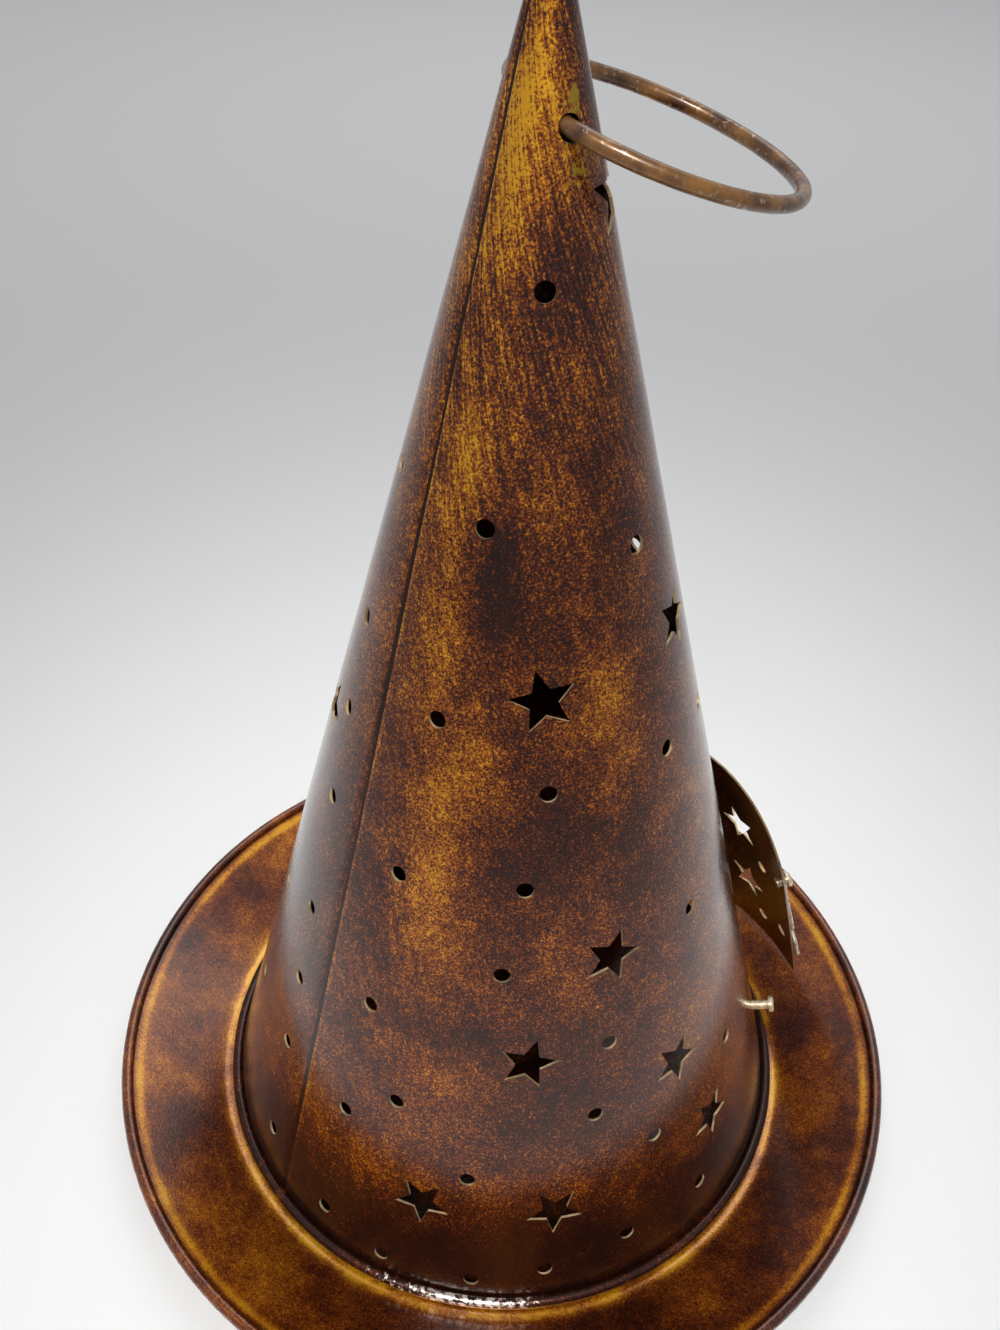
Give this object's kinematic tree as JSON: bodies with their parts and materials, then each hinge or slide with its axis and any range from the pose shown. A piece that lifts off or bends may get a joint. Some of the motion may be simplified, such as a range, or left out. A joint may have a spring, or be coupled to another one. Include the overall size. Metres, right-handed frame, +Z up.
{
  "type": "punched tin lantern",
  "caption": "Pointed-hat candle lantern of punched sheet metal: a tall cone with star and dot holes on a dished brim, with a hinged door, a wire latch and a carrying ring",
  "frame": {"origin": "middle of the flat underside of the brim pan", "axes": "+Z up along the cone, the door faces -Y and is hinged on its +X side"},
  "size_m": [0.254, 0.254, 0.3355],
  "materials": {
    "lacquered_tin": "speckled brown and ochre under a glossy clear lacquer",
    "steel_wire": "drawn wire with worn brown lacquer",
    "brass": "dull brass"
  },
  "bodies": {
    "lantern": {"cone_shell": "lacquered_tin", "brim_pan": "lacquered_tin", "rim_wire": "steel_wire", "candle_cup": "lacquered_tin", "upper_cone_leaf": "lacquered_tin", "lower_cone_leaf": "lacquered_tin", "upper_hinge_pin": "steel_wire", "lower_hinge_pin": "steel_wire", "cone_leaf_rivets": "steel_wire", "catch_peg": "brass"},
    "door": {"door_panel": "lacquered_tin", "upper_door_leaf": "lacquered_tin", "lower_door_leaf": "lacquered_tin", "door_leaf_rivets": "steel_wire", "latch_stud": "brass"},
    "latch": {"latch_hook": "steel_wire"},
    "ring": {"carrying_ring": "steel_wire"}
  },
  "joints": [
    {"name": "door_swing", "type": "hinge", "parent": "lantern", "child": "door", "pos_m": [0.05291, -0.06906, 0.02261], "axis": [0.0047, 0.3305, 0.9438], "range_deg": [-12, 58]},
    {"name": "latch_turn", "type": "hinge", "parent": "door", "child": "latch", "pos_m": [-0.03962, -0.08272, 0.06584], "axis": [0.355, 0.8902, -0.2856], "range_deg": [-90, 16.7]},
    {"name": "ring_swing", "type": "hinge", "parent": "lantern", "child": "ring", "pos_m": [-0.00034, 0.00104, 0.30606], "axis": [-0.9838, 0.0692, -0.1651], "range_deg": [-45, 255]}
  ]
}
